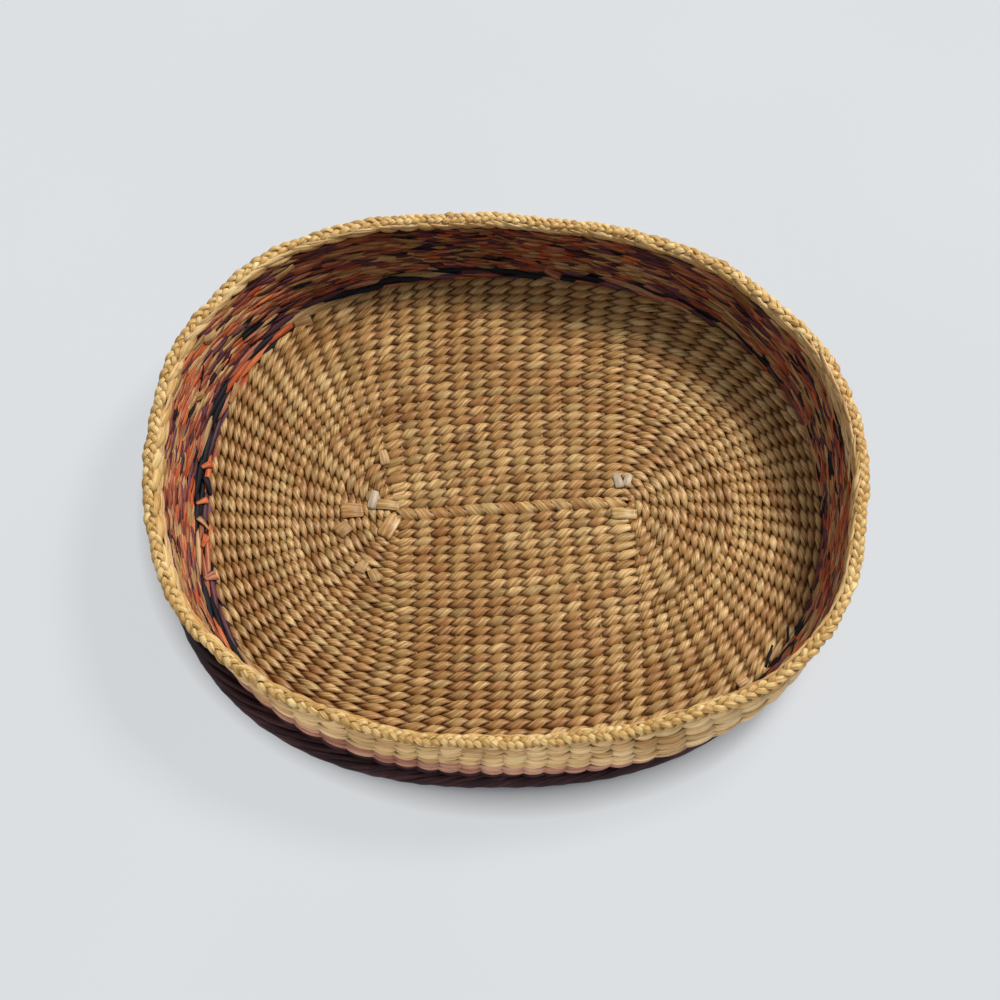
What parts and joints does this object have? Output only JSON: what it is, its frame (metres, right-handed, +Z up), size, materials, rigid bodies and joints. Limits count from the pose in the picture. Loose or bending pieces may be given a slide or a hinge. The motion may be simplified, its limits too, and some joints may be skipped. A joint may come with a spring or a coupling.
{
  "type": "oval twined basket",
  "caption": "Low oval straw basket, twined over stakes that fan out at both ends, with a flared wall, dyed bands and a braided rim.",
  "frame": {"origin": "on the floor, under the middle of the rim", "axes": "+X along the oval's length, +Y from the front of the oval to its back, +Z up out of the open top"},
  "size_m": [0.3446, 0.2863, 0.0518],
  "materials": {
    "stake_straw": "dry split straw, matt",
    "natural_straw": "flattened dry straw, satin",
    "pale_straw": "plaited dry straw, satin",
    "aubergine_straw": "dyed straw, satin",
    "rose_straw": "dyed straw, satin",
    "russet_straw": "dyed straw in streaks of russet, purple, black and natural, satin"
  },
  "bodies": {
    "root": {"cross_stake_1": "stake_straw", "cross_stake_2": "stake_straw", "cross_stake_3": "stake_straw", "cross_stake_4": "stake_straw", "cross_stake_5": "stake_straw", "cross_stake_6": "stake_straw", "cross_stake_7": "stake_straw", "cross_stake_8": "stake_straw", "cross_stake_9": "stake_straw", "cross_stake_10": "stake_straw", "cross_stake_11": "stake_straw", "cross_stake_12": "stake_straw", "cross_stake_13": "stake_straw", "fan_stake_right_1": "stake_straw", "fan_stake_right_2": "stake_straw", "fan_stake_right_3": "stake_straw", "fan_stake_right_4": "stake_straw", "fan_stake_right_5": "stake_straw", "fan_stake_right_6": "stake_straw", "fan_stake_right_7": "stake_straw", "fan_stake_right_8": "stake_straw", "fan_stake_right_9": "stake_straw", "fan_stake_right_10": "stake_straw", "fan_stake_right_11": "stake_straw", "fan_stake_right_12": "stake_straw", "fan_stake_right_13": "stake_straw", "fan_stake_right_14": "stake_straw", "fan_stake_left_1": "stake_straw", "fan_stake_left_2": "stake_straw", "fan_stake_left_3": "stake_straw", "fan_stake_left_4": "stake_straw", "fan_stake_left_5": "stake_straw", "fan_stake_left_6": "stake_straw", "fan_stake_left_7": "stake_straw", "fan_stake_left_8": "stake_straw", "fan_stake_left_9": "stake_straw", "fan_stake_left_10": "stake_straw", "fan_stake_left_11": "stake_straw", "fan_stake_left_12": "stake_straw", "fan_stake_left_13": "stake_straw", "fan_stake_left_14": "stake_straw", "base_weft_upper": "natural_straw", "base_weft_lower": "natural_straw", "wall_weft_inner_dyed": "russet_straw", "wall_weft_inner_natural": "natural_straw", "wall_weft_outer_aubergine": "aubergine_straw", "wall_weft_outer_rose": "rose_straw", "wall_weft_outer_natural": "natural_straw", "foot_wale": "aubergine_straw", "foot_row_inner": "russet_straw", "rim_braid": "pale_straw"}
  },
  "joints": []
}
